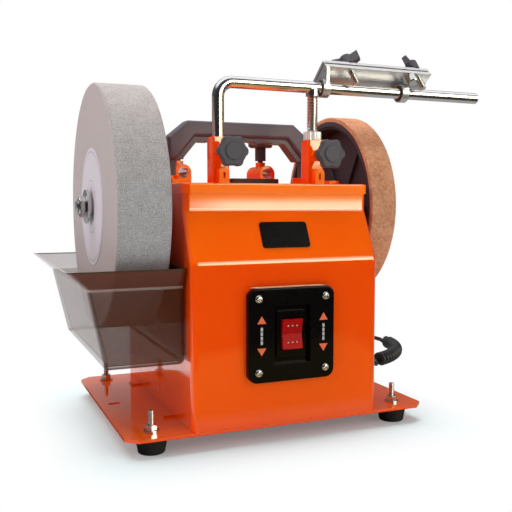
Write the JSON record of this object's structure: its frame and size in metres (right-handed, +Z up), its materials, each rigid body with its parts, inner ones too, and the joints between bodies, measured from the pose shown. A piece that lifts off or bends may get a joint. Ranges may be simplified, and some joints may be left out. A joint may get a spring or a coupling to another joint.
{
  "type": "wet sharpening machine",
  "caption": "Bench wet sharpener: folded orange casing, slow spindle with water stone over a hanging trough and leather honing wheel, adjustable support arm with clamping jig, curly mains lead.",
  "frame": {"origin": "on the bench under the spindle axis, in the casing's middle plane", "axes": "+X along the spindle towards the honing wheel, -Y the front with the switch, +Z up"},
  "size_m": [0.5528, 0.4506, 0.3924],
  "materials": {
    "orange_paint": "glossy powder coat",
    "foot_rubber": "matte",
    "zinc_steel": "bright zinc plate",
    "pad_rubber": "matte",
    "handle_plastic": "satin",
    "switch_plastic": "glossy",
    "badge_black": "glossy, bare",
    "cast_alloy": "as cast",
    "bush_bronze": "machined",
    "motor_grey": "satin",
    "core_steel": "laminated",
    "capacitor_plastic": "matte",
    "cord_black": "satin",
    "shaft_steel": "turned",
    "stone_grey": "granular, matte",
    "label_paper": "printed card, bare",
    "wheel_plastic": "matte",
    "ring_rubber": "matte",
    "leather_tan": "natural",
    "smoked_clear": "clear smoked plastic",
    "rocker_red": "glossy",
    "chrome_bar": "polished",
    "liner_plastic": "matte",
    "zinc_plate": "bright",
    "knob_black": "satin"
  },
  "bodies": {
    "machine": {"base_plate": "orange_paint", "casing": "orange_paint", "casing_tabs": "orange_paint", "top_cap": "orange_paint", "front_sleeves": "orange_paint", "rear_sleeves": "orange_paint", "handle_brackets": "orange_paint", "rubber_feet": "foot_rubber", "foot_studs": "zinc_steel", "foot_washers": "zinc_steel", "foot_nuts": "zinc_steel", "rest_pad": "pad_rubber", "carry_handle": "handle_plastic", "switch_plate": "switch_plastic", "switch_screws": "zinc_steel", "switch_housing": "switch_plastic", "badge_plate": "badge_black", "bearing_housings": "cast_alloy", "bearing_bushes": "bush_bronze", "motor_can": "motor_grey", "stator_core": "core_steel", "motor_end_covers": "cast_alloy", "motor_cradle": "motor_grey", "capacitor": "capacitor_plastic", "trough_hangers": "zinc_steel", "cord_gland": "cord_black", "cord_lead": "cord_black", "cord_curls": "cord_black", "cord_tail": "cord_black", "cord_plug": "cord_black"},
    "spindle": {"main_shaft": "shaft_steel", "grindstone": "stone_grey", "stone_label": "label_paper", "stone_flanges": "zinc_steel", "spindle_washers": "zinc_steel", "spindle_nuts": "zinc_steel", "honing_rim": "wheel_plastic", "honing_wheel": "wheel_plastic", "drive_ring": "ring_rubber", "leather_band": "leather_tan"},
    "rotor": {"motor_shaft": "shaft_steel", "drive_roller": "shaft_steel"},
    "trough": {"water_trough": "smoked_clear"},
    "switch": {"rocker": "rocker_red"},
    "support": {"support_bar": "chrome_bar"},
    "height_nut": {"micro_nut": "chrome_bar"},
    "slider": {"jig_liners": "liner_plastic"},
    "jig": {"jig_base": "zinc_plate", "jig_ears": "zinc_plate", "jig_clamp": "zinc_plate", "jig_thumb_nut": "zinc_steel"},
    "wing_left": {"wing_knob_left": "knob_black", "clamp_screw_left": "zinc_steel"},
    "wing_right": {"wing_knob_right": "knob_black", "clamp_screw_right": "zinc_steel"},
    "front_left_knob": {"front_knob_left": "knob_black"},
    "front_right_knob": {"front_knob_right": "knob_black"},
    "rear_left_knob": {"rear_knob_left": "knob_black"},
    "rear_right_knob": {"rear_knob_right": "knob_black"}
  },
  "joints": [
    {"name": "spindle_spin", "type": "hinge", "parent": "machine", "child": "spindle", "pos_m": [0, 0, 0.2265], "axis": [1, 0, 0], "continuous": true},
    {"name": "motor_spin", "type": "hinge", "parent": "machine", "child": "rotor", "pos_m": [0, 0, 0.1448], "axis": [1, 0, 0], "continuous": true},
    {"name": "trough_lift", "type": "slide", "parent": "machine", "child": "trough", "axis": [0, 0, 1], "range_m": [0, 0.009]},
    {"name": "rocker_tilt", "type": "hinge", "parent": "machine", "child": "switch", "pos_m": [0, -0.134, 0.106], "axis": [1, 0, 0], "range_deg": [-8, 8]},
    {"name": "support_lift", "type": "slide", "parent": "machine", "child": "support", "axis": [0, 0, 1], "range_m": [0, 0.04]},
    {"name": "height_nut_turn", "type": "hinge", "parent": "support", "child": "height_nut", "pos_m": [0.052, -0.078, 0.299], "axis": [0, 0, 1], "continuous": true},
    {"name": "jig_slide", "type": "slide", "parent": "support", "child": "slider", "axis": [1, 0, 0], "range_m": [0, 0.1]},
    {"name": "jig_tilt", "type": "hinge", "parent": "slider", "child": "jig", "pos_m": [0.1135, -0.078, 0.3493], "axis": [1, 0, 0], "range_deg": [-40, 60]},
    {"name": "wing_left_turn", "type": "hinge", "parent": "jig", "child": "wing_left", "pos_m": [0.095, -0.07746, 0.3746], "axis": [0, 0.6293, 0.7771], "continuous": true},
    {"name": "wing_right_turn", "type": "hinge", "parent": "jig", "child": "wing_right", "pos_m": [0.178, -0.07746, 0.3746], "axis": [0, 0.6293, 0.7771], "continuous": true},
    {"name": "front_left_knob_turn", "type": "hinge", "parent": "machine", "child": "front_left_knob", "pos_m": [-0.052, -0.1, 0.2788], "axis": [0, -1, 0], "continuous": true},
    {"name": "rear_left_knob_turn", "type": "hinge", "parent": "machine", "child": "rear_left_knob", "pos_m": [-0.052, 0.059, 0.29], "axis": [0, 0, 1], "continuous": true},
    {"name": "front_right_knob_turn", "type": "hinge", "parent": "machine", "child": "front_right_knob", "pos_m": [0.052, -0.1, 0.2788], "axis": [0, -1, 0], "continuous": true},
    {"name": "rear_right_knob_turn", "type": "hinge", "parent": "machine", "child": "rear_right_knob", "pos_m": [0.052, 0.059, 0.29], "axis": [0, 0, 1], "continuous": true}
  ],
  "couplings": [
    {"joint": "motor_spin", "follows": "spindle_spin", "ratio": 11.933}
  ]
}
